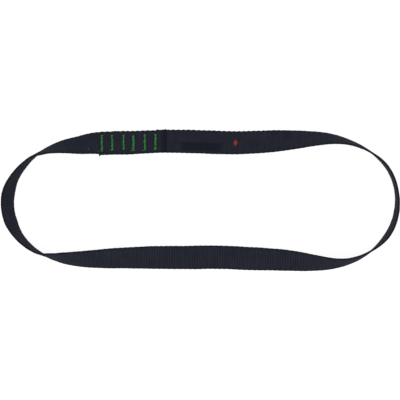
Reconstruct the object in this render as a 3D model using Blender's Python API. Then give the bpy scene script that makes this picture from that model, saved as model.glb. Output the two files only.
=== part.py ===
"""Sewn loop of flat webbing, lying on a flat surface.

One strap of woven webbing makes the loop. Its two heat-cut ends overlap and are sewn together by a row
of bartacks. Each bartack is a needle thread on the outer face and a bobbin thread on the inner face,
and the legs of both run down to where the two layers meet. Lengths are in metres and +Z is up.
"""

from math import radians

import bmesh
import bpy
import numpy as np
from mathutils import Vector

# Webbing
WIDTH = 0.025
THICKNESS = 0.0022
SELVAGE_WIDTH = 0.0007  # the rounded edge, measured across the strap
SELVAGE_CHAMFER = 0.0006  # and through its thickness
END_FLARE = 0.0004  # a melted end spreads this far past each selvage
END_LENGTH = 0.0025
RING_SPACING = 0.004

# Sewn overlap, measured along the strap from the lower layer's cut end
GAP = 0.0003  # between pieces that touch
SEAM_START = 0.0043  # the lower cut end, from the first point of LAY
OVERLAP = 0.0742
SEAM_CLEARANCE = 0.002  # the upper layer is already at full height this far before the overlap
SEAM_RAMP = 0.022

# Bartacks
BAR_AT = (0.0049, 0.0159, 0.0282, 0.0388, 0.0511, 0.0625)
BAR_LENGTH = 0.0172
BAR_WIDTH = 0.0026
BAR_PROUD = 0.00035  # above the face of the webbing
BAR_SUNK = 0.00025  # below it, where the stitches draw the webbing in
BAR_LEGS = 7
LEG_INSET = 0.0006  # from a corner of a leg's cell to the leg's own corner
LEG_SHORT = 0.00021  # a leg stops this far inside the webbing, so its hole ends just past the webbing

# The loop as it lies: x and y of the strap's centreline, and its tilt in degrees. At tilt 0 the strap lies
# flat with its outer face up, at 90 it stands on edge, and past 90 it leans away from the loop's middle.
LAY = (
    (-0.1150, 0.0595, 25),
    (-0.1040, 0.0605, 12),
    (-0.0775, 0.0615, 0),
    (-0.0410, 0.0630, 0),
    (0.0010, 0.0625, 0),
    (0.0405, 0.0615, 8),
    (0.0765, 0.0630, 20),
    (0.1105, 0.0650, 44),
    (0.1370, 0.0655, 62),
    (0.1615, 0.0610, 78),
    (0.1835, 0.0505, 86),
    (0.2000, 0.0350, 91),
    (0.2095, 0.0125, 91),
    (0.2105, -0.0105, 94),
    (0.2015, -0.0360, 96),
    (0.1810, -0.0560, 85),
    (0.1560, -0.0665, 73),
    (0.1235, -0.0675, 48),
    (0.0870, -0.0645, 23),
    (0.0495, -0.0630, 8),
    (0.0295, -0.0620, 0),
    (-0.0105, -0.0620, 0),
    (-0.0295, -0.0620, 7),
    (-0.0635, -0.0620, 19),
    (-0.1025, -0.0630, 35),
    (-0.1355, -0.0630, 53),
    (-0.1590, -0.0605, 76),
    (-0.1695, -0.0580, 90),
    (-0.1790, -0.0530, 96),
    (-0.1945, -0.0385, 105),
    (-0.2045, -0.0185, 116),
    (-0.2060, 0.0045, 116),
    (-0.1995, 0.0230, 106),
    (-0.1865, 0.0395, 97),
    (-0.1780, 0.0467, 91),
    (-0.1680, 0.0515, 79),
    (-0.1425, 0.0575, 52),
)
LAY_STEPS = 24  # points of the smooth curve from one point of LAY to the next

WEBBING_COLOUR = (0.0176, 0.0185, 0.0273, 1)
THREAD_COLOUR = (0.033, 0.223, 0.038, 1)


def clear_scene():
    for obj in list(bpy.data.objects):
        bpy.data.objects.remove(obj, do_unlink=True)


def smooth_step(t):
    t = np.clip(t, 0, 1)
    return t * t * (3 - 2 * t)


def curve_slopes(points, gaps):
    """Slopes that make a closed cubic curve through points with no jump in its curvature."""
    count = len(points)
    left, right = np.zeros((count, count)), np.zeros(points.shape)
    for i in range(count):
        after = (i + 1) % count
        back, ahead = gaps[i - 1], gaps[i]
        left[i, i - 1] = ahead
        left[i, i] = 2 * (back + ahead)
        left[i, after] = back
        rise_back = (points[i] - points[i - 1]) / back
        rise_ahead = (points[after] - points[i]) / ahead
        right[i] = 3 * (ahead * rise_back + back * rise_ahead)
    return np.linalg.solve(left, right)


def steady_slopes(values, gaps):
    """Slopes for a closed cubic that never overshoots, so that it stays flat between equal values."""
    ahead = (np.roll(values, -1) - values) / gaps
    back = np.roll(ahead, 1)
    same_way = back * ahead > 0
    total = np.where(same_way, back + ahead, 1)
    return np.where(same_way, 2 * back * ahead / total, 0)


def smooth_lay():
    """LAY as a dense closed curve: rows of x, y and tilt in radians."""
    points = np.array(LAY)
    points[:, 2] = np.radians(points[:, 2])
    following = np.roll(points, -1, axis=0)
    gaps = np.linalg.norm((following - points)[:, :2], axis=1)
    slopes = np.column_stack([curve_slopes(points[:, :2], gaps), steady_slopes(points[:, 2], gaps)])
    after = np.roll(slopes, -1, axis=0)
    rows = []
    for i, gap in enumerate(gaps):
        t = (np.arange(LAY_STEPS) / LAY_STEPS)[:, None]
        ease = smooth_step(t)
        bend = t * (1 - t) ** 2 * slopes[i] - t * t * (1 - t) * after[i]
        rows.append((1 - ease) * points[i] + ease * following[i] + gap * bend)
    return np.vstack(rows)


class Strap:
    """Where each point of the strap is, by its distance from the lower layer's cut end."""

    def __init__(self):
        lay = smooth_lay()
        closed = np.vstack([lay, lay[:1]])
        steps = np.linalg.norm(np.diff(closed[:, :2], axis=0), axis=1)
        self.along = np.concatenate([[0], np.cumsum(steps)])
        self.lay = closed
        self.loop = self.along[-1]
        self.length = self.loop + OVERLAP

    def height(self, distance):
        """How far the seam lifts the strap off the line of a single layer."""
        lower = BAR_PROUD * (1 - smooth_step((distance - OVERLAP) / SEAM_RAMP))
        rise_from = self.loop - SEAM_CLEARANCE - SEAM_RAMP
        full = BAR_PROUD + THICKNESS + GAP
        return lower + full * smooth_step((distance - rise_from) / SEAM_RAMP)

    def flat_frame(self, distance):
        """Centre, and the across and outward directions, of the strap's section in a vertical plane."""
        where = (distance + SEAM_START) % self.loop
        x, y, tilt = (np.interp(where, self.along, self.lay[:, i]) for i in range(3))
        i = int(np.searchsorted(self.along, where, side="right")) - 1
        ahead = self.lay[i + 1, :2] - self.lay[i, :2]
        ahead /= np.linalg.norm(ahead)
        inward = np.array([ahead[1], -ahead[0], 0])
        up = np.array([0, 0, 1])
        across = np.cos(tilt) * inward + np.sin(tilt) * up
        out = np.cos(tilt) * up - np.sin(tilt) * inward
        rise = (WIDTH * abs(np.sin(tilt)) + THICKNESS * abs(np.cos(tilt))) / 2
        centre = np.array([x, y, rise]) + self.height(distance) * out
        return centre, across, out

    def frame(self, distance):
        """Centre of the strap, and its across, along and outward directions, each square to the others."""
        centre, across, _ = self.flat_frame(distance)
        step = 0.001
        along = self.flat_frame(distance + step)[0] - self.flat_frame(distance - step)[0]
        along /= np.linalg.norm(along)
        across = across - (across @ along) * along
        across /= np.linalg.norm(across)
        return centre, across, along, np.cross(across, along)

    def fit(self, flat, distance, side):
        """A copy of a flat mesh that follows the outer face with side 1, or the inner face with side -1.

        The flat mesh has X across the strap, Y along it and Z out of the face.
        """
        mesh = flat.copy()
        for vert in mesh.vertices:
            x, y, z = vert.co
            centre, across, _, out = self.frame(distance + y)
            vert.co = centre + side * (x * across + (THICKNESS / 2 + z) * out)
        return mesh


def make_material(name, colour, roughness):
    material = bpy.data.materials.new(name)
    material.use_nodes = True
    shader = material.node_tree.nodes["Principled BSDF"]
    shader.inputs["Base Color"].default_value = colour
    shader.inputs["Roughness"].default_value = roughness
    shader.inputs["Metallic"].default_value = 0
    return material


def add_object(name, mesh, material=None):
    obj = bpy.data.objects.new(name, mesh)
    bpy.context.scene.collection.objects.link(obj)
    if material:
        mesh.materials.append(material)
    return obj


def strap_section(flare):
    """Outline of the webbing's cross-section, as pairs of across and outward."""
    edge = WIDTH / 2 + flare
    face = edge - SELVAGE_WIDTH
    top = THICKNESS / 2
    shoulder = top - SELVAGE_CHAMFER
    half = [(-face, -top), (face, -top), (edge, -shoulder), (edge, shoulder)]
    return half + [(-across, -outward) for across, outward in half]


def webbing_mesh(strap):
    """The strap as one closed strip: a ring of points at each distance, joined and capped."""
    inner = strap.length - 2 * END_LENGTH
    rings = max(2, round(inner / RING_SPACING))
    distances = [0, *np.linspace(END_LENGTH, strap.length - END_LENGTH, rings + 1), strap.length]
    bm = bmesh.new()
    previous, first = None, None
    for distance in distances:
        centre, across, _, out = strap.frame(distance)
        flare = END_FLARE if distance in (0, strap.length) else 0
        ring = [bm.verts.new(centre + a * across + o * out) for a, o in strap_section(flare)]
        for i in range(len(ring)) if previous else ():
            corners = [previous[i - 1], previous[i], ring[i], ring[i - 1]]
            if i < len(ring) / 2:  # so that both faces of the webbing split along the same diagonal
                corners.append(corners.pop(0))
            bm.faces.new(corners)
        first = first or ring
        previous = ring
    bm.faces.new(first)
    bm.faces.new(previous)
    bmesh.ops.triangulate(bm, faces=bm.faces, quad_method="FIXED")
    bmesh.ops.recalc_face_normals(bm, faces=bm.faces)
    mesh = bpy.data.meshes.new("webbing")
    bm.to_mesh(mesh)
    bm.free()
    return mesh


def thread_mesh(name, grow=0.0):
    """A bartack's thread: a bar across the strap, with a leg through the webbing at each turn.

    The bar's length is along X, and its face on the webbing is at Z 0. grow moves every face outwards.
    """
    bm = bmesh.new()
    bmesh.ops.create_grid(bm, x_segments=BAR_LEGS, y_segments=2, size=0.5)
    bmesh.ops.scale(bm, vec=(BAR_LENGTH, BAR_WIDTH, 1), verts=bm.verts)
    bmesh.ops.translate(bm, vec=(0, 0, -BAR_SUNK), verts=bm.verts)
    under = list(bm.faces)
    top = bmesh.ops.extrude_face_region(bm, geom=under, use_keep_orig=True)
    raised = [v for v in top["geom"] if isinstance(v, bmesh.types.BMVert)]
    bmesh.ops.translate(bm, vec=(0, 0, BAR_SUNK + BAR_PROUD), verts=raised)
    cell = BAR_LENGTH / BAR_LEGS
    turns = [f for f in under if turn_side(f.calc_center_median(), cell)]
    bmesh.ops.inset_individual(bm, faces=turns, thickness=LEG_INSET)
    legs = bmesh.ops.extrude_discrete_faces(bm, faces=turns)["faces"]
    lowered = {v for f in legs for v in f.verts}
    bmesh.ops.translate(bm, vec=(0, 0, BAR_SUNK + LEG_SHORT - THICKNESS), verts=list(lowered))
    bmesh.ops.recalc_face_normals(bm, faces=bm.faces)
    push_out(bm, grow)
    bmesh.ops.triangulate(bm, faces=bm.faces)
    mesh = bpy.data.meshes.new(name)
    bm.to_mesh(mesh)
    bm.free()
    return mesh


def turn_side(centre, cell):
    """True for the cells where the zigzag turns: one side and the other by turns along the bar."""
    column = round(centre.x / cell + (BAR_LEGS - 1) / 2)
    return (column % 2 == 0) == (centre.y > 0)


def push_out(bm, distance):
    """Moves every face of a square-cornered solid outwards."""
    moves = {}
    for vert in bm.verts:
        normals = {tuple(round(c) for c in face.normal) for face in vert.link_faces}
        moves[vert] = sum((Vector(n) for n in normals), Vector()) * distance
    for vert, move in moves.items():
        vert.co += move


def add_threads(strap, material, parent):
    """The needle and bobbin threads of every bartack, and the cutters that make room for them."""
    thread, hole = thread_mesh("bartack_thread"), thread_mesh("bartack_hole", GAP)
    cutters = bpy.data.collections.new("stitch_holes")
    bpy.context.scene.collection.children.link(cutters)
    for number, at in enumerate(BAR_AT, 1):
        for kind, distance, side in (("needle", strap.loop + at, 1), ("bobbin", at, -1)):
            obj = add_object(f"bartack_{number}_{kind}_thread", strap.fit(thread, distance, side), material)
            obj.parent = parent
            fitted = strap.fit(hole, distance, side)
            cutter = bpy.data.objects.new(f"bartack_{number}_{kind}_hole", fitted)
            cutter.hide_render = True
            cutter.display_type = "WIRE"
            cutters.objects.link(cutter)
    return cutters


def add_webbing(strap, cutters, material, parent):
    obj = add_object("webbing", webbing_mesh(strap), material)
    obj.parent = parent
    obj.data.shade_smooth()
    obj.data.set_sharp_from_angle(angle=radians(30))
    cut = obj.modifiers.new("stitch_holes", "BOOLEAN")
    cut.operation = "DIFFERENCE"
    cut.operand_type = "COLLECTION"
    cut.collection = cutters
    cut.solver = "EXACT"


def main():
    clear_scene()
    strap = Strap()
    sling = add_object("sling", None)
    webbing = make_material("navy_webbing", WEBBING_COLOUR, 0.8)
    thread = make_material("green_thread", THREAD_COLOUR, 0.55)
    cutters = add_threads(strap, thread, sling)
    add_webbing(strap, cutters, webbing, sling)


main()
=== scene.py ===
import bpy
import numpy as np
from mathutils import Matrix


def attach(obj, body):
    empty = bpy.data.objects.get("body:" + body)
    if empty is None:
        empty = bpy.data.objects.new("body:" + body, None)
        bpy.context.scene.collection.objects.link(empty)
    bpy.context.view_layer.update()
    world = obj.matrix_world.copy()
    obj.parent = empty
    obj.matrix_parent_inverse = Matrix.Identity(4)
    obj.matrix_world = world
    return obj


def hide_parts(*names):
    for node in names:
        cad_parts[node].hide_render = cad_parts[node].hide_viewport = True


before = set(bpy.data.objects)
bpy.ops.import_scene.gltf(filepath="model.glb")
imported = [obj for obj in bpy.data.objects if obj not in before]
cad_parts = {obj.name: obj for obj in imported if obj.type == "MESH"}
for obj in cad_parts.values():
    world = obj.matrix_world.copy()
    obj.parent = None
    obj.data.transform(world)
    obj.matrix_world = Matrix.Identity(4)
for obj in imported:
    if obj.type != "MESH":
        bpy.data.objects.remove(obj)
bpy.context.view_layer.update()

# Strap, in metres
WIDTH = 0.025
THICKNESS = 0.0022
SEAM_START = 0.0043  # the lower layer's cut end, from the first point of LAY
OVERLAP = 0.0742
SEAM_CLEARANCE = 0.002
SEAM_RAMP = 0.022
LIFT = 0.00035  # the bobbin threads hold the lower layer this far off the floor
LAYER_GAP = 0.00008
UPPER_SHIFT = -0.0001  # the upper layer is sewn on this far off the lower one, across the strap
UPPER_NARROW = 0.0002  # the stitches draw the upper layer in by this much at each edge
SEWN_NARROW = 0.0004  # and both layers by this much at the last two bartacks
SEWN_AT, SEWN_REACH = 0.063, 0.018  # where those are along the seam, and how far the narrowing reaches
NECKS = (0.772, 0.913)  # where the left bend's twists turn edge on, along the strap

# Where the ribs lean as the strap twists: place along the strap, how far the lean reaches, and by how much
# the inner edge runs ahead
LEANS = (
    (0.262, 0.018, -0.0019),
    (0.462, 0.030, 0.0017),
    (0.768, 0.042, 0.0021),
)

# Weave
RIB = 0.0027125  # from one crosswise rib to the next; the loop holds an even number of them
RIB_DEPTH = 0.00024
RIB_STEPS = (0.0, 0.17, 0.39, 0.61, 0.83)  # where a rib's rings lie, as shares of the rib; 0 is the valley
KNUCKLE = 0.00096  # across the strap, from one warp yarn's knuckle to the next
SELVAGE = 0.0019  # the thinner band along each edge
SELVAGE_FROM = WIDTH / 2 - SELVAGE  # where that band begins, from the strap's middle
SELVAGE_GROOVE = 0.00016  # depth of the groove beside it
SELVAGE_ROLL = 0.00014  # how much thinner the strap gets towards its very edge
SCALLOP = 0.00022  # the edge swells this much at every second rib
EDGE_PROUD = 0.0002  # the loops of the selvage yarn stand this far outside the nominal width
EDGE_WAVE = 0.00014
CUP = 0.00022  # how far the section bends into a shallow trough, this way or that
BUCKLE = 0.00007
BELLY = 0.0009  # how far the middle of the strap swells outwards at the necks
CURL = 0.0008  # and how far its inner edge turns back there

# The two heat-cut ends: how far the melted band runs in from the cut, and how far its edges flare out
SEALED_LOWER = 0.0028
SEALED_UPPER = 0.0067
FLARE_LOWER = 0.0005
FLARE_UPPER = 0.0003
PRESSED = 0.0006  # the upper end was pressed this much thinner while hot
PRESSED_REACH = 0.0035

# Yarns that stick out of the edges at the seam: how far from that layer's cut end, and how far they stand out
LOWER_NUB = (0.0007, 0.0011)  # on the inner edge
UPPER_NUBS = ((0.0550, 0.0010), (0.0099, 0.0006), (0.0006, 0.0006))  # on the outer edge
NUB_WIDTH = 0.0008
FRAY_REACH, FRAY = 0.0105, 0.0005  # the upper layer's outer edge is frayed over this length, by this much
BULGE_AT, BULGE = 0.026, 0.0003  # and it bulges here along the seam

# The loop as it lies: x and y of the strap's centreline, and its tilt in degrees
LAY = (
    (-0.1150, 0.0595, 25),
    (-0.1040, 0.0605, 12),
    (-0.0775, 0.0615, 0),
    (-0.0410, 0.0630, 0),
    (0.0010, 0.0625, 0),
    (0.0405, 0.0615, 8),
    (0.0765, 0.0630, 20),
    (0.1105, 0.0650, 44),
    (0.1370, 0.0655, 62),
    (0.1615, 0.0610, 78),
    (0.1835, 0.0505, 86),
    (0.2000, 0.0350, 91),
    (0.2095, 0.0125, 91),
    (0.2105, -0.0105, 94),
    (0.2015, -0.0360, 96),
    (0.1810, -0.0560, 85),
    (0.1560, -0.0665, 73),
    (0.1235, -0.0675, 48),
    (0.0870, -0.0645, 23),
    (0.0495, -0.0630, 8),
    (0.0295, -0.0620, 0),
    (-0.0105, -0.0620, 0),
    (-0.0295, -0.0620, 7),
    (-0.0635, -0.0620, 19),
    (-0.1025, -0.0630, 35),
    (-0.1355, -0.0630, 53),
    (-0.1590, -0.0605, 76),
    (-0.1695, -0.0580, 90),
    (-0.1790, -0.0530, 96),
    (-0.1945, -0.0385, 105),
    (-0.2045, -0.0185, 116),
    (-0.2060, 0.0045, 116),
    (-0.1995, 0.0230, 106),
    (-0.1865, 0.0395, 97),
    (-0.1780, 0.0467, 91),
    (-0.1680, 0.0515, 79),
    (-0.1425, 0.0575, 52),
)
LAY_STEPS = 60

# Bartacks on the outer face, in millimetres: place along the seam, shift towards the inner edge, length,
# width, how far the foot lies back along the strap, how much wider the foot is, and length of the loose tail
NEEDLE_BARS = (
    (4.9, 0.5, 17.6, 1.6, 1.0, 0.5, 0.0),
    (15.9, 0.0, 16.1, 1.5, 0.0, 0.4, 2.3),
    (28.2, -0.6, 15.4, 1.4, -0.1, 1.0, 0.0),
    (38.8, 0.6, 16.5, 2.3, 0.8, 0.1, 2.0),
    (51.1, 0.5, 16.9, 1.8, 0.6, 0.2, 2.3),
    (62.5, 0.5, 16.6, 1.5, 0.8, 0.7, 1.7),
)
BAR_DIP = 0.0004  # how deep the stitches pull the strap in
THREAD_RADIUS = 0.0002
PASS_PITCH = 0.00036  # from one pass of the zigzag to the next
PASS_LIFTS = (0.00004, 0.00016)  # how high even and odd passes lie on the strap
PASS_ARCH = 0.0001
PASS_DIVE = 0.00085  # how far the ends of a pass go into the strap

# How unevenly the bartacks are sewn
BAR_WANDER = 0.00036  # of a bartack's middle, from side to side
BAR_SWELL = 0.00045  # of its half width
LEAST_HALF_WIDTH = 0.0004
NOTCH, NOTCH_PITCH = 0.00032, 0.0029  # the outline's steps in and out, and how often they come
END_SPREAD = 0.00022  # of a pass's two ends
TURN_SPREAD = 0.00006  # of its slope
LIFT_SPREAD = 0.00005  # of its height

# Prints and specks on the strap: place along it and across it from the middle, and sizes either way
LABEL_AT, LABEL_HALF, LABEL_FADE = (0.1122, 0.0052), (0.0240, 0.0056), (0.0042, 0.0020)
MARK_AT, MARK_HALF = (0.1488, 0.0002), (0.0024, 0.0038)
SPECKS = ((-0.0098, 0.0070, 0.0012), (0.0000, 0.0096, 0.0010))  # from the seam's start, and a radius each

# Where the strap is rubbed paler and its rib valleys get deeper painted shade: middle along the strap, how
# far off it ends and is full, and how strong
RUBBED_AND_RIB_SHADED = ((0.59, 0.32, 0.17, 1.0), (0.258, 0.06, 0.02, 0.7))

# Colours
NAVY_DEEP = (0.0160, 0.0174, 0.0270, 1)
NAVY_PALE = (0.0330, 0.0358, 0.0520, 1)
# painted shade between the warp yarns
YARN_GAP_SHADE = (0.0030, 0.0033, 0.0052, 1)
# painted shade in the rib valleys
RIB_VALLEY_SHADE = (0.0025, 0.0028, 0.0045, 1)
# painted shade for the selvage grooves and the strap's rim
EDGE_SHADE = (0.0073, 0.0079, 0.0129, 1)
MELTED = (0.0078, 0.0085, 0.0158, 1)
LABEL_INK = (0.0098, 0.0108, 0.0182, 1)
MARK_INK = (0.31, 0.047, 0.029, 1)
FLUFF = (0.078, 0.092, 0.116, 1)
GREEN_DEEP = (0.020, 0.166, 0.031, 1)
GREEN_PALE = (0.060, 0.335, 0.075, 1)
NAVY_SHEEN = (0.62, 0.68, 0.9, 1)
WHITE = (1, 1, 1, 1)

# Studio
FLOOR_REACH = 40.0  # from its middle to each side
FLOOR_BELOW = 0.0002  # from the strap's resting plane, because its edges are knobbly
FLOOR_GLOW = 0.85
HORIZON_LIGHT, OVERHEAD_LIGHT = 1.03, 0.85
FADE_TOP = 0.45  # how far up the fade from horizon to overhead light ends, as a share of the way
LAMP_PLACE, LAMP_SIZE, LAMP_POWER = (-0.9, -0.7, 1.5), 0.9, 5.0
CAMERA_PLACE = (-0.00032, -0.00012, 2.0)
VIEW_WIDTH = 0.43104  # of the picture, at the floor
SENSOR = 36  # millimetres


def smooth_step(t):
    t = np.clip(t, 0, 1)
    return t * t * (3 - 2 * t)


def bump(distance, width):
    """1 at distance 0, falling smoothly to 0."""
    return np.exp(-((distance / width) ** 2))


def ripple(values, wavelength, seed):
    """Smooth uneven waves of about that wavelength, between -1 and 1, the same ones each time."""
    rng = np.random.default_rng(seed)
    turns = 2 * np.pi / (wavelength * rng.uniform(0.6, 1.7, 5))
    phases = rng.uniform(0, 2 * np.pi, 5)
    return np.sin(values[..., None] * turns + phases).sum(-1) / 3.2


def curve_slopes(points, gaps):
    """Slopes that make a closed cubic curve through points with no jump in its curvature."""
    count = len(points)
    left, right = np.zeros((count, count)), np.zeros(points.shape)
    for i in range(count):
        after = (i + 1) % count
        back, ahead = gaps[i - 1], gaps[i]
        left[i, i - 1] = ahead
        left[i, i] = 2 * (back + ahead)
        left[i, after] = back
        before, beyond = points[i] - points[i - 1], points[after] - points[i]
        right[i] = 3 * (ahead * before / back + back * beyond / ahead)
    return np.linalg.solve(left, right)


def steady_slopes(values, gaps):
    """Slopes for a closed cubic that never overshoots."""
    ahead = (np.roll(values, -1) - values) / gaps
    back = np.roll(ahead, 1)
    same_way = back * ahead > 0
    return np.where(same_way, 2 * back * ahead / np.where(same_way, back + ahead, 1), 0)


def smooth_lay():
    """LAY as a dense closed curve: rows of x, y and tilt in radians."""
    points = np.array(LAY)
    points[:, 2] = np.radians(points[:, 2])
    following = np.roll(points, -1, axis=0)
    gaps = np.linalg.norm((following - points)[:, :2], axis=1)
    slopes = np.column_stack([curve_slopes(points[:, :2], gaps), steady_slopes(points[:, 2], gaps)])
    after = np.roll(slopes, -1, axis=0)
    t = (np.arange(LAY_STEPS) / LAY_STEPS)[:, None]
    ease = smooth_step(t)
    rows = [
        (1 - ease) * points[i] + ease * following[i]
        + gap * (t * (1 - t) ** 2 * slopes[i] - t * t * (1 - t) * after[i])
        for i, gap in enumerate(gaps)
    ]
    return np.vstack([*rows, points[:1]])


class Strap:
    """Where each point of the strap is, by its distance from the lower layer's cut end."""

    def __init__(self):
        self.lay = smooth_lay()
        steps = np.linalg.norm(np.diff(self.lay, axis=0)[:, :2], axis=1)
        self.along = np.concatenate([[0], np.cumsum(steps)])
        self.loop = self.along[-1]
        self.length = self.loop + OVERLAP
        ends = np.vstack([self.lay[-2], self.lay, self.lay[1]])
        heading = ends[2:, :2] - ends[:-2, :2]
        self.heading = heading / np.linalg.norm(heading, axis=1)[:, None]

    def height(self, distance):
        """How far what lies underneath holds the strap off the floor, measured out of its own face."""
        lower = LIFT * (1 - smooth_step((distance - OVERLAP) / SEAM_RAMP))
        rise_from = self.loop - SEAM_CLEARANCE - SEAM_RAMP
        return lower + (LIFT + THICKNESS + LAYER_GAP) * smooth_step((distance - rise_from) / SEAM_RAMP)

    def centre(self, distance):
        """Centre, and the direction across the section before it is squared to the centreline."""
        where = (distance + SEAM_START) % self.loop
        x, y, tilt = (np.interp(where, self.along, self.lay[:, i]) for i in range(3))
        ahead = np.stack([np.interp(where, self.along, self.heading[:, i]) for i in range(2)], -1)
        ahead /= np.linalg.norm(ahead, axis=-1, keepdims=True)
        zero = np.zeros_like(x)
        inward = np.stack([ahead[..., 1], -ahead[..., 0], zero], -1)
        up = np.stack([zero, zero, zero + 1], -1)
        cos, sin = np.cos(tilt)[..., None], np.sin(tilt)[..., None]
        across, out = cos * inward + sin * up, cos * up - sin * inward
        rise = (WIDTH * np.abs(sin) + THICKNESS * np.abs(cos)) / 2
        return np.stack([x, y, zero], -1) + rise * up + self.height(distance)[..., None] * out, across

    def frame(self, distance):
        """Centre of the strap, and its across, along and outward directions, each square to the others."""
        centre, across = self.centre(distance)
        step = 0.001
        along = self.centre(distance + step)[0] - self.centre(distance - step)[0]
        along /= np.linalg.norm(along, axis=-1, keepdims=True)
        across = across - (across * along).sum(-1, keepdims=True) * along
        across /= np.linalg.norm(across, axis=-1, keepdims=True)
        return centre, across, along, np.cross(across, along)

    def place(self, distance, across, out):
        """The points that far along, across and out from the centreline."""
        centre, right, _, away = self.frame(distance)
        return centre + across[..., None] * right + out[..., None] * away


def section():
    """The webbing's cross-section: shares of its half width, with 1 on the outer face and -1 on the inner."""
    half = np.array([0.0, 0.2, 0.4, 0.58, 0.72, 0.82, 0.88, 0.92, 0.955])
    face = np.concatenate([-half[:0:-1], half])
    edge = [(0.982, 0.72), (0.996, 0.34), (1.0, 0.0), (0.996, -0.34), (0.982, -0.72)]
    outer = [(a, 1.0) for a in face]
    ring = outer + edge + [(a, -1.0) for a in face[::-1]] + [(-a, -o) for a, o in edge]
    return np.array(ring)


def bar_dip(strap, distance, across, side):
    """How far the stitches pull a face in.

    Side 1 is the upper layer's outer face, and -1 the lower layer's inner one.
    """
    start = strap.loop if side > 0 else 0
    dip = np.zeros_like(across)
    for at, shift, length, _, lean, _, _ in NEEDLE_BARS:
        along_bar = across * 1000 - shift
        middle = start + (at - lean * along_bar / length) / 1000
        reach = length / 2 + 0.7 - np.abs(along_bar)
        dip += bump(distance - middle, 0.0019) * smooth_step(reach / 1.2)
    return BAR_DIP * np.minimum(dip, 1)


def webbing_rings(strap):
    """Distances along the strap of the mesh's rings, and where the first rib starts.

    RIB_STEPS are repeated in every rib, and each cut end has two rings more.
    """
    ribs = int(strap.length / RIB)
    at = (np.arange(ribs)[:, None] + np.array(RIB_STEPS)).ravel() * RIB
    start = (strap.length - ribs * RIB) / 2
    caps = np.array([0, 0.0002])
    return np.concatenate([caps, at + start, strap.length - caps[::-1]]), start


def half_depths(s, a, rib, sealed):
    """Half the strap's depth: round ribs with narrow valleys, shallower at the edges and the melted ends."""
    off_middle = np.abs(a) * WIDTH / 2
    in_selvage = smooth_step((off_middle - SELVAGE_FROM) / 0.0006)
    phase = rib - np.floor(rib)
    valley = np.abs(2 * phase - 1) ** 3
    uneven = 1 + 0.35 * ripple(s, 0.021, 11) * ripple(a * (WIDTH / 2), 0.012, 12)
    ribbing = RIB_DEPTH * valley * (1 - 0.35 * in_selvage) * uneven * (1 - 0.85 * sealed)
    groove = SELVAGE_GROOVE * bump(off_middle - SELVAGE_FROM, 0.00035)
    rolled = SELVAGE_ROLL * in_selvage * smooth_step((off_middle - 0.0108) / 0.0016)
    return (THICKNESS / 2 - ribbing - groove - rolled) * (1 - 0.08 * sealed)


def stray_yarns(s, a, from_end):
    """How far single yarns stick out of the edges at the two cut ends."""
    at, proud = LOWER_NUB
    inner = proud * bump(s - at, NUB_WIDTH)
    outer = sum(proud * bump(from_end - at, NUB_WIDTH) for at, proud in UPPER_NUBS)
    frayed = FRAY * smooth_step((FRAY_REACH - from_end) / 0.0009)
    return inner * (a > 0) + (outer + frayed) * (a < 0)


def half_widths(strap, s, a, rib, sealed):
    """Half the strap's width: scalloped at every second rib, slowly wavy, and flared where an end melted."""
    from_end = strap.length - s
    on_seam = s - strap.loop
    top_run = np.maximum(1 - smooth_step((s - 0.16) / 0.06), smooth_step((on_seam + 0.02) / 0.03))
    lively = 0.5 + 0.6 * top_run * (a < 0)
    scallop = SCALLOP * lively * (np.cos(np.pi * (rib + 0.5 * (a > 0))) - 0.2) * (1 - sealed)
    wave = EDGE_WAVE * ripple(s + 0.37 * (a > 0), 0.034, 13)
    bulge = BULGE * bump(on_seam - BULGE_AT, 0.008) * (a < 0)
    flare = FLARE_LOWER * bump(s, 0.0011) + FLARE_UPPER * bump(from_end, 0.0009)
    sewn = bump(s - SEWN_AT, SEWN_REACH) + bump(on_seam - SEWN_AT, SEWN_REACH)
    drawn_in = UPPER_NARROW * smooth_step((on_seam + 0.012) / 0.02) + SEWN_NARROW * sewn
    swell = scallop + wave + bulge + flare + stray_yarns(s, a, from_end)
    return WIDTH / 2 + EDGE_PROUD - drawn_in + swell * smooth_step((np.abs(a) - 0.55) / 0.45)


def rib_leans(strap, s, a):
    """How far each point runs ahead along the strap, because ribs wander a little and lean in the twists."""
    skew = 0.00028 * ripple(s, 0.083, 14) * a + 0.00016 * ripple(s, 0.041, 15) * (1 - a * a)
    skew = skew * smooth_step(np.minimum(s, strap.length - s) / 0.01)
    return skew + a * sum(lean * bump(s - at, reach) for at, reach, lean in LEANS)


def softness(strap, s, a):
    """How far the section bends: cupped and buckled off the seam, bellied and curled at the necks."""
    cup = (CUP * ripple(s, 0.11, 16) + 0.00012) * (a * a - 0.35)
    buckle = BUCKLE * ripple(s + 0.004 * a, 0.013, 17)
    on_seam = np.maximum(1 - smooth_step((s - OVERLAP) / 0.01), smooth_step((s - strap.loop + 0.01) / 0.01))
    bellied = BELLY * sum(bump(s - neck, 0.008) for neck in NECKS) * (1 - a * a)
    curled = CURL * sum(bump(s - neck, 0.006) for neck in NECKS) * np.maximum(a, 0) ** 2
    return (cup + buckle) * (1 - on_seam) + bellied - curled


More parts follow.
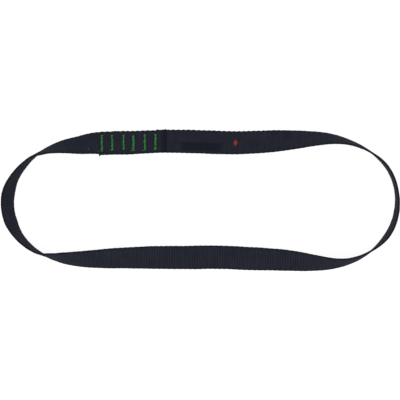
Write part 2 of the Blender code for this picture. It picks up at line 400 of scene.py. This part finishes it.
def webbing_points(strap):
    """World points of the woven strap, ring by ring, their place in the weave, and which face each is on."""
    distance, start = webbing_rings(strap)
    ring = section()
    s, a = np.meshgrid(distance, ring[:, 0], indexing="ij")
    side = np.broadcast_to(ring[:, 1], s.shape)
    from_end = strap.length - s
    rib = (s - start) / RIB
    sealed = np.maximum(
        1 - smooth_step(s / SEALED_LOWER - 0.3),
        1 - smooth_step(from_end / SEALED_UPPER - 0.3),
    )

    pressed = PRESSED * (1 - smooth_step(from_end / PRESSED_REACH))
    outward = side * (half_depths(s, a, rib, sealed) - pressed) - pressed + softness(strap, s, a)
    outward -= np.where(side > 0.5, bar_dip(strap, s, a * WIDTH / 2, 1), 0)
    outward += np.where(side < -0.5, bar_dip(strap, s, a * WIDTH / 2, -1), 0)

    upper = smooth_step((s - strap.loop + 0.03) / 0.03)
    across = a * half_widths(strap, s, a, rib, sealed) + UPPER_SHIFT * upper
    points = strap.place(s + rib_leans(strap, s, a), across, outward)
    weave = np.stack([s, a * WIDTH / 2, sealed], -1)
    return points, weave, side


def tube_faces(rings, around):
    """Faces of a closed tube whose points come ring by ring."""
    index = np.arange(rings * around).reshape(rings, around)
    following = np.roll(index, -1, axis=1)
    quads = np.stack([index[:-1], following[:-1], following[1:], index[1:]], -1).reshape(-1, 4)
    return [*quads.tolist(), index[0][::-1].tolist(), index[-1].tolist()]


def build_webbing(strap, material):
    points, weave, side = webbing_points(strap)
    mesh = bpy.data.meshes.new("sling_webbing")
    mesh.from_pydata(points.reshape(-1, 3).tolist(), [], tube_faces(*points.shape[:2]))
    layer = mesh.attributes.new("weave", "FLOAT_VECTOR", "POINT")
    layer.data.foreach_set("vector", weave.astype(np.float32).ravel())
    face = mesh.attributes.new("face", "FLOAT", "POINT")
    face.data.foreach_set("value", side.astype(np.float32).ravel())
    mesh.shade_smooth()
    mesh.materials.append(material)
    return add_piece("sling_webbing", mesh)


def add_piece(name, mesh):
    obj = bpy.data.objects.new(name, mesh)
    bpy.context.scene.collection.objects.link(obj)
    return obj


def tube(line, radius, sides=9, twist_pitch=0.0011, lobes=3):
    """Points and faces of a closed tube of plied thread round a line, both in flat strap space.

    That space is along, across and out.
    """
    steps = np.linalg.norm(np.diff(line, axis=0), axis=1)
    run = np.concatenate([[0], np.cumsum(steps)])
    ahead = np.gradient(line, axis=0)
    ahead /= np.linalg.norm(ahead, axis=1)[:, None]
    aside = np.cross(ahead, (0, 0, 1.0))
    aside /= np.maximum(np.linalg.norm(aside, axis=1)[:, None], 1e-9)
    above = np.cross(aside, ahead)
    angle = np.arange(sides) * 2 * np.pi / sides
    twist = angle[None, :] * lobes - 2 * np.pi * run[:, None] / twist_pitch
    size = radius * (1 + 0.13 * np.cos(twist))
    ring = line[:, None] + size[..., None] * (
        np.cos(angle)[None, :, None] * aside[:, None] + np.sin(angle)[None, :, None] * above[:, None]
    )
    return ring.reshape(-1, 3), tube_faces(len(line), sides)


def loose_tail(bar):
    """The thread's cut end, which lies on the strap at the bartack's foot."""
    at, shift, length, width, lean, _, tail = bar
    u = np.linspace(0, 1, 14)
    along = at - lean / 2 - width * 0.3 - tail * (0.8 * u + 0.1 * u * u)
    across = shift + length * 0.47 + tail * (0.6 * u - 0.25 * u * u)
    out = -0.0004 + 0.0009 * smooth_step(u * 4) - 0.00025 * u
    return np.stack([along, across, out], -1)


def bar_lines(bar, rng, flat):
    """The thread's passes to and fro over one bartack, as lines in flat strap space."""
    bar = np.array(bar) / 1000
    at, shift, length, width, lean, foot, tail = bar
    count = int(length / PASS_PITCH)
    t = np.linspace(0, 1, 9)
    from_middle = np.abs(2 * t - 1)
    wander = rng.normal(0, 1, (3, count + 4))  # the last row is spare
    wander = (wander[:, :-2] + wander[:, 1:-1] + wander[:, 2:]) / 3
    lines = []
    for i in range(count + 1):
        share = i / count  # 0 at the bar's head, near the outer edge, and 1 at its foot
        odd = i % 2
        middle = at + lean * (0.5 - share) + BAR_WANDER * wander[0, i]
        half = (width + foot * smooth_step((share - 0.82) / 0.12)) / 2 + BAR_SWELL * wander[1, i]
        half = max(half, LEAST_HALF_WIDTH)
        turn = share * length * 2 * np.pi / NOTCH_PITCH + np.array([0, 2.4]) + at * 1000
        ends = rng.normal(0, END_SPREAD, 2) + NOTCH * np.sin(turn)
        along = (2 * t - 1) * half + ends[0] * (1 - t) + ends[1] * t
        along = middle + (along if odd else -along)
        slope = 1.4 * PASS_PITCH * (t - 0.5) + rng.normal(0, TURN_SPREAD)
        across = shift + (share - 0.5) * length + slope
        lift = PASS_LIFTS[odd] + rng.normal(0, LIFT_SPREAD)
        out = (lift + PASS_ARCH) * (1 - from_middle ** 2.2) - PASS_DIVE * from_middle ** 5
        lines.append(np.stack([along, across, out * (0.7 if flat else 1)], -1))
    if tail and not flat:
        lines.append(loose_tail(bar))
    return lines


def build_thread(name, strap, bar, start, side, seed, material):
    """One bartack's thread.

    Side 1 is the outer face of the upper layer, and -1 the inner face of the lower one.
    """
    rng = np.random.default_rng(seed)
    points, faces, total = [], [], 0
    for line in bar_lines(bar, rng, side < 0):
        ring, quads = tube(line, THREAD_RADIUS)
        points.append(ring)
        faces += [[corner + total for corner in face] for face in quads]
        total += len(ring)
    flat = np.vstack(points)
    shift = UPPER_SHIFT if side > 0 else 0
    world = strap.place(start + flat[:, 0], flat[:, 1] + shift, side * (THICKNESS / 2 + flat[:, 2]))
    if side < 0:
        faces = [face[::-1] for face in faces]
    mesh = bpy.data.meshes.new(name)
    mesh.from_pydata(world.tolist(), [], faces)
    mesh.shade_smooth()
    mesh.materials.append(material)
    return add_piece(name, mesh)


class Nodes:
    """A short way to write a node material."""

    def __init__(self, name):
        self.material = bpy.data.materials.new(name)
        self.material.use_nodes = True
        self.tree = self.material.node_tree
        self.shader = self.tree.nodes["Principled BSDF"]

    def node(self, kind, inputs=(), **settings):
        node = self.tree.nodes.new(kind)
        for key, value in settings.items():
            setattr(node, key, value)
        for socket, value in dict(inputs).items():
            self.feed(node.inputs[socket], value)
        return node

    def feed(self, socket, value):
        if isinstance(value, bpy.types.NodeSocket):
            self.tree.links.new(value, socket)
        else:
            socket.default_value = value

    def math(self, operation, *values, clamp=False):
        node = self.node("ShaderNodeMath", enumerate(values), operation=operation, use_clamp=clamp)
        return node.outputs[0]

    def mix(self, factor, a, b):
        node = self.node("ShaderNodeMix", {0: factor, 6: a, 7: b}, data_type="RGBA")
        return node.outputs[2]

    def spread(self, value, low, high, to_low=0.0, to_high=1.0):
        node = self.node("ShaderNodeMapRange", {0: value, 1: low, 2: high, 3: to_low, 4: to_high})
        return node.outputs[0]

    def noise(self, vector, scale, detail=2.0, rough=0.5):
        inputs = {"Vector": vector, "Scale": scale, "Detail": detail, "Roughness": rough}
        return self.node("ShaderNodeTexNoise", inputs).outputs["Fac"]

    def scaled(self, vector, by):
        return self.node("ShaderNodeVectorMath", {0: vector, 1: by}, operation="MULTIPLY").outputs[0]


def knuckles(m, along, across):
    """Height of the rib, of the warp yarn across its own width, and the rib's number.

    A knuckle is a rounded float of yarn one rib long, and each row of them is staggered from the last.
    """
    rib = m.math("DIVIDE", along, RIB)
    row = m.math("FLOOR", rib)
    down = m.math("ABSOLUTE", m.math("SUBTRACT", m.math("FRACT", rib), 0.5))
    crown = m.math("SUBTRACT", 1.0, m.math("MULTIPLY", m.math("POWER", down, 3.0), 8.0))
    stagger = m.math("MULTIPLY", m.math("MODULO", row, 2.0), 0.5)
    column = m.math("ADD", m.math("DIVIDE", across, KNUCKLE), m.math("ADD", stagger, 100.0))
    over = m.math("SUBTRACT", m.math("FRACT", column), 0.5)
    round_over = m.math("SUBTRACT", 1.0, m.math("MULTIPLY", m.math("MULTIPLY", over, over), 4.0))
    return crown, m.math("SQRT", m.math("MAXIMUM", round_over, 0.0)), row


def rubbed_and_rib_shaded_places(m, along):
    """Where the strap is rubbed paler and its rib valleys get deeper painted shade: most on the run without
    the seam, and a little where the other run starts to twist.
    """
    most = 0.0
    for middle, end, full, strength in RUBBED_AND_RIB_SHADED:
        away = m.math("ABSOLUTE", m.math("SUBTRACT", along, middle))
        most = m.math("MAXIMUM", most, m.spread(away, end, full, 0, strength))
    return most


def wear_and_knuckle_highlight(m, parts, weave, yarn, row, fibres, rubbed_and_rib_shaded):
    """How pale the yarn is, from 0 to 1: by knuckle (rubbed fuzz and a painted highlight on its crown),
    fibre, rubbed place, dye and each rib's own lot.
    """
    dye = m.noise(m.scaled(weave, (38.0, 90.0, 0.0)), 1.0, 3.0)
    place = {0: m.math("MULTIPLY", row, 7.31), 1: m.math("MULTIPLY", parts[1], 60.0)}
    lot = m.noise(m.node("ShaderNodeCombineXYZ", place).outputs[0], 1.0)
    # knuckle crowns paler: partly rubbed fuzz, partly a painted highlight
    worn = m.math("ADD", m.math("MULTIPLY", yarn, 0.2), m.math("MULTIPLY", fibres, 0.35))
    worn = m.math("ADD", worn, m.math("MULTIPLY", rubbed_and_rib_shaded, 0.16))
    worn = m.math("ADD", worn, m.math("MULTIPLY", m.math("SUBTRACT", dye, 0.5), 0.5))
    return m.math("ADD", worn, m.math("MULTIPLY", m.math("SUBTRACT", lot, 0.5), 0.7), clamp=True)


def webbing_colour(m, parts, weave, crown, yarn, row, fibres):
    """Navy yarn: paler on the knuckles (rubbed fuzz and a painted highlight), with painted shade between
    yarns, between ribs and along the selvage grooves, near black where it melted.
    """
    across, sealed = parts[1], parts[2]
    rubbed_and_rib_shaded = rubbed_and_rib_shaded_places(m, parts[0])
    colour = m.mix(wear_and_knuckle_highlight(m, parts, weave, yarn, row, fibres, rubbed_and_rib_shaded), NAVY_DEEP, NAVY_PALE)
    # painted shade in the gaps between the warp yarns
    yarn_gap_shade = m.math("MULTIPLY", m.math("POWER", m.math("SUBTRACT", 1.0, yarn), 1.5), 0.8)
    colour = m.mix(yarn_gap_shade, colour, YARN_GAP_SHADE)
    # painted shade in the valleys between ribs, deeper where the strap is rubbed
    valley = m.math("MULTIPLY", m.math("SUBTRACT", 1.0, crown), m.spread(rubbed_and_rib_shaded, 0, 1, 0.26, 0.50))
    colour = m.mix(valley, colour, RIB_VALLEY_SHADE)
    # painted shade along the selvage grooves, a narrow band where each edge band begins
    edge = m.spread(m.math("ABSOLUTE", across), SELVAGE_FROM - 0.0003, SELVAGE_FROM + 0.0003)
    colour = m.mix(m.math("MULTIPLY", edge, 0.3), colour, EDGE_SHADE)
    return m.mix(m.math("MULTIPLY", sealed, 0.62), colour, MELTED)


def rim_shade_and_prints(m, colour, parts, height, fibres, loop):
    """The colour with painted shade on its rim, and on the outer face the label, the mark and the specks."""
    face = m.node("ShaderNodeAttribute", attribute_name="face").outputs["Fac"]
    # painted shade on the strap's rim, the faces between its outer and inner sides
    rim_shade = m.spread(m.math("ABSOLUTE", face), 0.95, 0.6)
    colour = m.mix(m.math("MULTIPLY", rim_shade, 0.34), colour, EDGE_SHADE)
    outer = m.spread(face, 0.3, 0.9)
    for where, tint in (
        (label(m, parts, fibres), LABEL_INK),
        (mark(m, parts, height), MARK_INK),
        (specks(m, parts, loop, fibres), FLUFF),
    ):
        colour = m.mix(m.math("MULTIPLY", where, outer), colour, tint)
    return colour


def webbing_material(strap):
    m = Nodes("navy_webbing")
    weave = m.node("ShaderNodeAttribute", attribute_name="weave").outputs["Vector"]
    parts = m.node("ShaderNodeSeparateXYZ", {0: weave}).outputs
    start = webbing_rings(strap)[1]
    crown, yarn, row = knuckles(m, m.math("SUBTRACT", parts[0], start), parts[1])
    height = m.math("MULTIPLY", crown, yarn)
    fibres = m.noise(m.scaled(weave, (700.0, 5200.0, 0.0)), 1.0, 3.0, 0.6)
    sealed = parts[2]
    colour = webbing_colour(m, parts, weave, crown, yarn, row, fibres)
    colour = rim_shade_and_prints(m, colour, parts, height, fibres, strap.loop)
    m.feed(m.shader.inputs["Base Color"], colour)

    rough = m.spread(fibres, 0.3, 0.7, 0.66, 0.86)
    m.feed(m.shader.inputs["Roughness"], m.math("SUBTRACT", rough, m.math("MULTIPLY", sealed, 0.3)))
    relief = m.math("ADD", m.math("MULTIPLY", height, 0.00011), m.math("MULTIPLY", fibres, 0.00003))
    relief = m.math("MULTIPLY", relief, m.math("SUBTRACT", 1.0, m.math("MULTIPLY", sealed, 0.8)))
    bumped = m.node("ShaderNodeBump", {"Strength": 0.9, "Distance": 1.0, "Height": relief})
    m.feed(m.shader.inputs["Normal"], bumped.outputs[0])
    m.shader.inputs["Specular IOR Level"].default_value = 0.011
    m.shader.inputs["Sheen Weight"].default_value = 0.002
    m.shader.inputs["Sheen Roughness"].default_value = 0.45
    m.shader.inputs["Sheen Tint"].default_value = NAVY_SHEEN
    return m.material


def distances(m, parts, place):
    """How far a point is from a place, along the strap and across it."""
    return [m.math("ABSOLUTE", m.math("SUBTRACT", part, at)) for part, at in zip(parts, place)]


def label(m, parts, fibres):
    """A faint worn block of darker ink on the inner half of the top run, beside the mark."""
    worn = m.math("MULTIPLY", m.math("SUBTRACT", fibres, 0.5), 0.002)
    inked = 0.72
    for away, half, fade in zip(distances(m, parts, LABEL_AT), LABEL_HALF, LABEL_FADE):
        inked = m.math("MULTIPLY", inked, m.spread(m.math("ADD", away, worn), half, half - fade))
    return inked


def mark(m, parts, height):
    """A small plain lozenge printed on the top run, thinner in the hollows of the weave."""
    along, across = distances(m, parts, MARK_AT)
    lozenge = m.math("ADD", m.math("DIVIDE", along, MARK_HALF[0]), m.math("DIVIDE", across, MARK_HALF[1]))
    ink = m.spread(lozenge, 1.0, 0.9)
    return m.math("MULTIPLY", ink, m.spread(height, 0.1, 0.8, 0.35, 0.95))


def specks(m, parts, loop, fibres):
    """Two small fluffy spots, left of the seam and at its first bartack's foot."""
    fluff = m.math("MULTIPLY", m.math("SUBTRACT", fibres, 0.5), 0.0016)
    spots = 0.0
    for at, across, size in SPECKS:
        squares = [m.math("POWER", away, 2.0) for away in distances(m, parts, (loop + at, across))]
        away = m.math("ADD", m.math("SQRT", m.math("ADD", *squares)), fluff)
        spots = m.math("MAXIMUM", spots, m.spread(away, size, 0.0))
    return spots


def thread_material():
    m = Nodes("green_thread")
    place = m.node("ShaderNodeTexCoord").outputs["Object"]
    patches = m.noise(place, 900.0, 2.0)
    strands = m.noise(place, 5200.0, 2.0, 0.6)
    blend = m.math("ADD", m.math("MULTIPLY", patches, 0.6), m.math("MULTIPLY", strands, 0.4), clamp=True)
    colour = m.mix(m.spread(blend, 0.35, 0.65), GREEN_DEEP, GREEN_PALE)
    m.feed(m.shader.inputs["Base Color"], colour)
    m.feed(m.shader.inputs["Roughness"], m.spread(strands, 0.3, 0.7, 0.42, 0.6))
    bumped = m.node("ShaderNodeBump", {"Strength": 0.5, "Distance": 0.00004, "Height": strands})
    m.feed(m.shader.inputs["Normal"], bumped.outputs[0])
    m.shader.inputs["Specular IOR Level"].default_value = 0.25
    m.shader.inputs["Sheen Weight"].default_value = 0.05
    m.shader.inputs["Sheen Roughness"].default_value = 0.4
    return m.material


def build_sling():
    strap = Strap()
    navy, green = webbing_material(strap), thread_material()
    webbing = build_webbing(strap, navy)
    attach(webbing, "root")
    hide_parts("webbing")
    for number, bar in enumerate(NEEDLE_BARS, 1):
        for kind, start, side in (("needle", strap.loop, 1), ("bobbin", 0.0, -1)):
            name = f"bartack_{number}_{kind}_stitches"
            piece = build_thread(name, strap, bar, start, side, 10 * number + side, green)
            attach(piece, "root")
            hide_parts(f"bartack_{number}_{kind}_thread")
    path = strap.centre(np.linspace(0, strap.length, 700))[0]


def pale_floor():
    m = Nodes("pale_floor")
    grain = m.noise(m.node("ShaderNodeTexCoord").outputs["Object"], 3.0, 2.0)
    m.feed(m.shader.inputs["Base Color"], m.mix(grain, (0.28, 0.28, 0.28, 1), (0.32, 0.32, 0.32, 1)))
    m.shader.inputs["Roughness"].default_value = 0.9
    m.shader.inputs["Specular IOR Level"].default_value = 0.1
    m.shader.inputs["Emission Color"].default_value = WHITE
    m.shader.inputs["Emission Strength"].default_value = FLOOR_GLOW
    return m.material


def build_studio():
    """A plain pale light table that runs into a white horizon, soft light all round and one large lamp."""
    signs = ((-1, -1), (1, -1), (1, 1), (-1, 1))
    corners = [(x * FLOOR_REACH, y * FLOOR_REACH, -FLOOR_BELOW) for x, y in signs]
    mesh = bpy.data.meshes.new("studio_floor")
    mesh.from_pydata(corners, [], [(0, 1, 2, 3)])
    mesh.materials.append(pale_floor())
    add_piece("studio_floor", mesh)

    light_tent()
    add_lamp("key_lamp", LAMP_PLACE, LAMP_SIZE, LAMP_POWER)
    bpy.context.scene.view_settings.view_transform = "Standard"


def light_tent():
    """White all round, as bright as the floor at the horizon and dimmer overhead."""
    world = bpy.data.worlds.new("studio")
    world.use_nodes = True
    tree = world.node_tree
    place = tree.nodes.new("ShaderNodeTexCoord")
    parts = tree.nodes.new("ShaderNodeSeparateXYZ")
    fade = tree.nodes.new("ShaderNodeMapRange")
    for socket, value in enumerate((0.0, FADE_TOP, HORIZON_LIGHT, OVERHEAD_LIGHT), 1):
        fade.inputs[socket].default_value = value
    tree.links.new(place.outputs["Generated"], parts.inputs[0])
    tree.links.new(parts.outputs["Z"], fade.inputs[0])
    tree.links.new(fade.outputs[0], tree.nodes["Background"].inputs["Strength"])
    tree.nodes["Background"].inputs["Color"].default_value = WHITE
    bpy.context.scene.world = world


def add_lamp(name, place, size, power):
    lamp = bpy.data.lights.new(name, "AREA")
    lamp.size = size
    lamp.energy = power
    obj = bpy.data.objects.new(name, lamp)
    obj.location = place
    obj.rotation_euler = (-obj.location).to_track_quat("-Z", "Y").to_euler()
    bpy.context.scene.collection.objects.link(obj)


def add_camera():
    """Straight down from 2 m, with +Y up in the picture."""
    camera = bpy.data.cameras.new("camera")
    camera.sensor_width = SENSOR
    camera.lens = SENSOR * CAMERA_PLACE[2] / VIEW_WIDTH
    obj = bpy.data.objects.new("camera", camera)
    obj.location = CAMERA_PLACE
    bpy.context.scene.collection.objects.link(obj)
    bpy.context.scene.camera = obj


build_sling()
build_studio()
add_camera()
